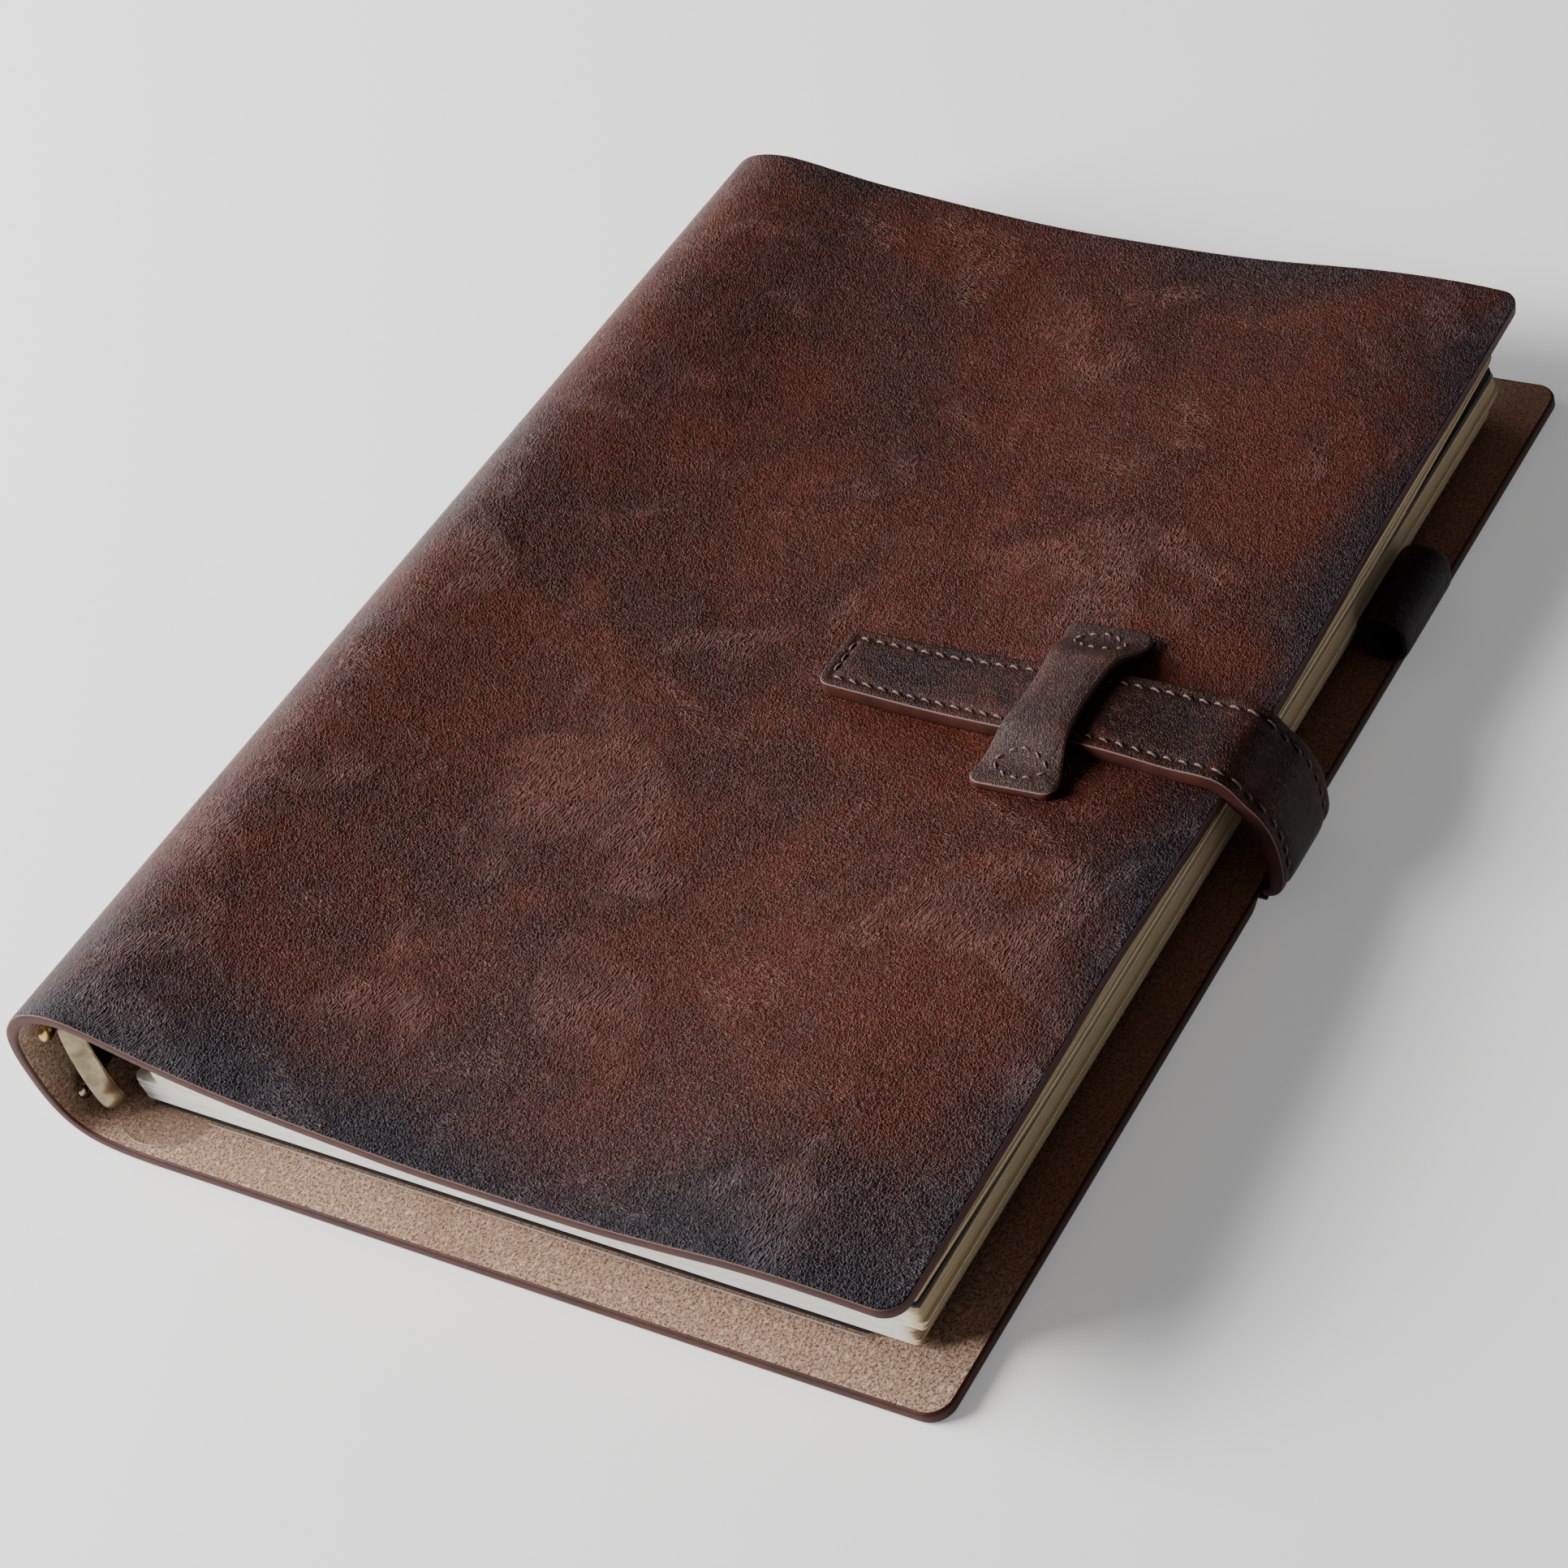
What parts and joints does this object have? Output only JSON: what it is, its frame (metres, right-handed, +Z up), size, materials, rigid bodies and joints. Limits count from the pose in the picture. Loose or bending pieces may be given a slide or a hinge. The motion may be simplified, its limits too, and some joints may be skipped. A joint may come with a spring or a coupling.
{
  "type": "leather notebook cover",
  "caption": "Refillable ring-bound notebook with a soft one-piece leather cover, closed by a leather strap that slides under a keeper on the front.",
  "frame": {"origin": "under the middle of the closed notebook's bounding box, on the surface it lies on", "axes": "+X from the spine to the fore-edge, +Y from the tail edge to the head edge, +Z up through the front cover"},
  "size_m": [0.1708, 0.228, 0.0312],
  "materials": {
    "cover_leather": "oiled pull-up leather, dark reddish brown, suede inside",
    "strap_leather": "dark brown oiled leather with stitched edges",
    "dark_leather": "nearly black brown, matt",
    "paper": "plain uncoated",
    "clear_plastic": "clear, flexible",
    "black_plastic": "satin",
    "nickel": "warm nickel plate"
  },
  "bodies": {
    "rear_cover": {"rear_cover_leather": "cover_leather", "lower_spine_fold": "cover_leather", "strap_root": "strap_leather", "pen_loop": "dark_leather", "clear_sheet": "clear_plastic", "black_divider": "black_plastic"},
    "spine": {"spine_leather": "cover_leather", "upper_spine_fold": "cover_leather", "spine_backing_strip": "dark_leather", "mechanism_plate": "nickel", "rivet_tail": "nickel", "rivet_head": "nickel", "lever_pin_tail": "nickel", "lever_pin_head": "nickel"},
    "front_cover": {"front_cover_leather": "cover_leather", "strap_keeper": "cover_leather"},
    "lower_page_block": {"lower_pages": "paper", "top_divider": "black_plastic"},
    "upper_page_block": {"upper_pages": "paper"},
    "lower_ring_halves": {"blade_lower": "nickel", "ring_lower_1": "nickel", "ring_lower_2": "nickel", "ring_lower_3": "nickel", "ring_lower_4": "nickel", "ring_lower_5": "nickel", "ring_lower_6": "nickel"},
    "upper_ring_halves": {"blade_upper": "nickel", "ring_upper_1": "nickel", "ring_upper_2": "nickel", "ring_upper_3": "nickel", "ring_upper_4": "nickel", "ring_upper_5": "nickel", "ring_upper_6": "nickel"},
    "tail_lever": {"lever_tail": "nickel"},
    "head_lever": {"lever_head": "nickel"},
    "strap": {"strap_loop": "strap_leather"}
  },
  "joints": [
    {"name": "cover_opening", "type": "hinge", "parent": "rear_cover", "child": "spine", "pos_m": [-0.08284, 0, 0.0026], "axis": [0, 1, 0], "range_deg": [-90, 0], "deforming": ["lower_spine_fold"]},
    {"name": "front_cover_fold", "type": "hinge", "parent": "spine", "child": "front_cover", "pos_m": [-0.08214, 0, 0.0279], "axis": [0, 1, 0], "range_deg": [-90, 0], "deforming": ["upper_spine_fold"]},
    {"name": "lower_pages_on_rings", "type": "hinge", "parent": "spine", "child": "lower_page_block", "pos_m": [-0.07189, 0, 0.01125], "axis": [0, 1, 0], "range_deg": [0, 92]},
    {"name": "page_turn", "type": "hinge", "parent": "spine", "child": "upper_page_block", "pos_m": [-0.07274, 0, 0.0145], "axis": [0, 1, 0], "range_deg": [-88, 0]},
    {"name": "ring_opening", "type": "hinge", "parent": "spine", "child": "lower_ring_halves", "pos_m": [-0.08044, 0, 0.01], "axis": [0, 1, 0], "range_deg": [0, 6]},
    {"name": "upper_ring_opening", "type": "hinge", "parent": "spine", "child": "upper_ring_halves", "pos_m": [-0.08044, 0, 0.0188], "axis": [0, 1, 0], "range_deg": [-6, 0]},
    {"name": "tail_lever_press", "type": "hinge", "parent": "spine", "child": "tail_lever", "pos_m": [-0.08024, -0.1026, 0.0144], "axis": [0, 0, 1], "range_deg": [-15, 0]},
    {"name": "head_lever_press", "type": "hinge", "parent": "spine", "child": "head_lever", "pos_m": [-0.08024, 0.1032, 0.0144], "axis": [0, 0, 1], "range_deg": [0, 15]},
    {"name": "strap_release", "type": "hinge", "parent": "rear_cover", "child": "strap", "pos_m": [0.07916, 0, 0.0012], "axis": [0, 1, 0], "range_deg": [0, 95], "deforming": ["strap_loop"]}
  ],
  "couplings": [
    {"joint": "front_cover_fold", "follows": "cover_opening", "ratio": 1},
    {"joint": "lower_pages_on_rings", "follows": "cover_opening", "ratio": -1.01},
    {"joint": "page_turn", "follows": "cover_opening", "ratio": 0.966},
    {"joint": "upper_ring_opening", "follows": "ring_opening", "ratio": -1},
    {"joint": "tail_lever_press", "follows": "ring_opening", "ratio": -2.5},
    {"joint": "head_lever_press", "follows": "ring_opening", "ratio": 2.5}
  ]
}
